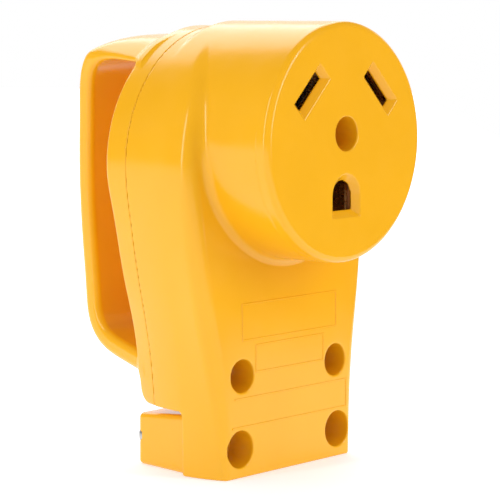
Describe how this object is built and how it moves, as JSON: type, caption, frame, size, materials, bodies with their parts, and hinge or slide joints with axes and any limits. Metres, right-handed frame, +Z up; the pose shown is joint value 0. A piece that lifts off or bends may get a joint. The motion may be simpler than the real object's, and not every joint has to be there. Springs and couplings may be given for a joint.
{
  "type": "cord-end power receptacle with grip handle",
  "caption": "Right-angle cord-end receptacle: round slotted face on a tapered screwed body, with a strap handle at the back and a cord clamp at the foot.",
  "frame": {"origin": "bottom centre of the whole object's bounding box", "axes": "+Z up along the body, -Y out of the mating face, +Y towards the handle, +X to the right seen from the mating face"},
  "size_m": [0.0686, 0.074, 0.1105],
  "materials": {
    "yellow_plastic": "glossy moulded",
    "dark_insulator": "matte moulded",
    "fibre_board": "matte sheet",
    "brass": "stamped",
    "nickel_plate": "nickel plated",
    "zinc_steel": "zinc plated",
    "green_screw": "green plated"
  },
  "bodies": {
    "housing": {"front_housing": "yellow_plastic", "contact_carrier": "dark_insulator", "contact_retainer": "fibre_board", "retainer_screw_left": "zinc_steel", "retainer_screw_right": "zinc_steel", "hot_contact_clip": "brass", "hot_terminal_block": "brass", "neutral_contact_clip": "nickel_plate", "neutral_terminal_block": "nickel_plate", "ground_contact_clip": "brass", "ground_terminal_block": "brass", "clamp_nut_left": "zinc_steel", "clamp_nut_right": "zinc_steel"},
    "rear_cover": {"rear_cover_with_handle": "yellow_plastic"},
    "cord_clamp": {"cord_clamp": "yellow_plastic"},
    "clamp_screw_left": {"clamp_screw_left": "zinc_steel"},
    "clamp_screw_right": {"clamp_screw_right": "zinc_steel"},
    "face_washer": {"face_washer": "zinc_steel"},
    "face_screw": {"face_screw": "zinc_steel"},
    "housing_left_washer": {"housing_left_washer": "zinc_steel"},
    "housing_left_screw": {"housing_left_screw": "zinc_steel"},
    "housing_right_washer": {"housing_right_washer": "zinc_steel"},
    "housing_right_screw": {"housing_right_screw": "zinc_steel"},
    "hot_plate": {"hot_pressure_plate": "brass"},
    "hot_screw": {"hot_terminal_screw": "brass"},
    "neutral_plate": {"neutral_pressure_plate": "nickel_plate"},
    "neutral_screw": {"neutral_terminal_screw": "nickel_plate"},
    "ground_plate": {"ground_pressure_plate": "brass"},
    "ground_screw": {"ground_terminal_screw": "green_screw"}
  },
  "joints": [
    {"name": "cover_slide", "type": "slide", "parent": "housing", "child": "rear_cover", "axis": [0, 1, 0], "range_m": [0, 0.045]},
    {"name": "clamp_slide", "type": "slide", "parent": "housing", "child": "cord_clamp", "axis": [0, 1, 0], "range_m": [0, 0.0042]},
    {"name": "clamp_screw_left_turn", "type": "hinge", "parent": "cord_clamp", "child": "clamp_screw_left", "pos_m": [-0.0184, 0.012, 0.00715], "axis": [0, 1, 0], "range_deg": [0, 1906]},
    {"name": "clamp_screw_right_turn", "type": "hinge", "parent": "cord_clamp", "child": "clamp_screw_right", "pos_m": [0.0184, 0.012, 0.00715], "axis": [0, 1, 0], "range_deg": [0, 1906]},
    {"name": "face_washer_slide", "type": "slide", "parent": "housing", "child": "face_washer", "axis": [0, -1, 0], "range_m": [0, 0.012]},
    {"name": "face_screw_turn", "type": "hinge", "parent": "face_washer", "child": "face_screw", "pos_m": [0, -0.024, 0.0836], "axis": [0, -1, 0], "range_deg": [0, 5442]},
    {"name": "housing_left_washer_slide", "type": "slide", "parent": "housing", "child": "housing_left_washer", "axis": [0, -1, 0], "range_m": [0, 0.012]},
    {"name": "housing_left_screw_turn", "type": "hinge", "parent": "housing_left_washer", "child": "housing_left_screw", "pos_m": [-0.0176, -0.009, 0.025], "axis": [0, -1, 0], "range_deg": [0, 5442]},
    {"name": "housing_right_washer_slide", "type": "slide", "parent": "housing", "child": "housing_right_washer", "axis": [0, -1, 0], "range_m": [0, 0.012]},
    {"name": "housing_right_screw_turn", "type": "hinge", "parent": "housing_right_washer", "child": "housing_right_screw", "pos_m": [0.0176, -0.009, 0.025], "axis": [0, -1, 0], "range_deg": [0, 5442]},
    {"name": "hot_plate_slide", "type": "slide", "parent": "housing", "child": "hot_plate", "axis": [0, 1, 0], "range_m": [0, 0.0025]},
    {"name": "hot_screw_turn", "type": "hinge", "parent": "hot_plate", "child": "hot_screw", "pos_m": [0.01293, -0.006, 0.0941], "axis": [0, 1, 0], "range_deg": [0, 1135]},
    {"name": "neutral_plate_slide", "type": "slide", "parent": "housing", "child": "neutral_plate", "axis": [0, 1, 0], "range_m": [0, 0.0025]},
    {"name": "neutral_screw_turn", "type": "hinge", "parent": "neutral_plate", "child": "neutral_screw", "pos_m": [-0.01293, -0.006, 0.0941], "axis": [0, 1, 0], "range_deg": [0, 1135]},
    {"name": "ground_plate_slide", "type": "slide", "parent": "housing", "child": "ground_plate", "axis": [0, 1, 0], "range_m": [0, 0.0025]},
    {"name": "ground_screw_turn", "type": "hinge", "parent": "ground_plate", "child": "ground_screw", "pos_m": [0, -0.006, 0.0687], "axis": [0, 1, 0], "range_deg": [0, 1135]}
  ],
  "couplings": [
    {"joint": "clamp_screw_left_turn", "follows": "clamp_slide", "rad_per_m": 7913.3},
    {"joint": "clamp_screw_right_turn", "follows": "clamp_slide", "rad_per_m": 7913.3},
    {"joint": "face_screw_turn", "follows": "face_washer_slide", "rad_per_m": 7913.3},
    {"joint": "housing_left_screw_turn", "follows": "housing_left_washer_slide", "rad_per_m": 7913.3},
    {"joint": "housing_right_screw_turn", "follows": "housing_right_washer_slide", "rad_per_m": 7913.3},
    {"joint": "hot_screw_turn", "follows": "hot_plate_slide", "rad_per_m": 7913.3},
    {"joint": "neutral_screw_turn", "follows": "neutral_plate_slide", "rad_per_m": 7913.3},
    {"joint": "ground_screw_turn", "follows": "ground_plate_slide", "rad_per_m": 7913.3}
  ]
}
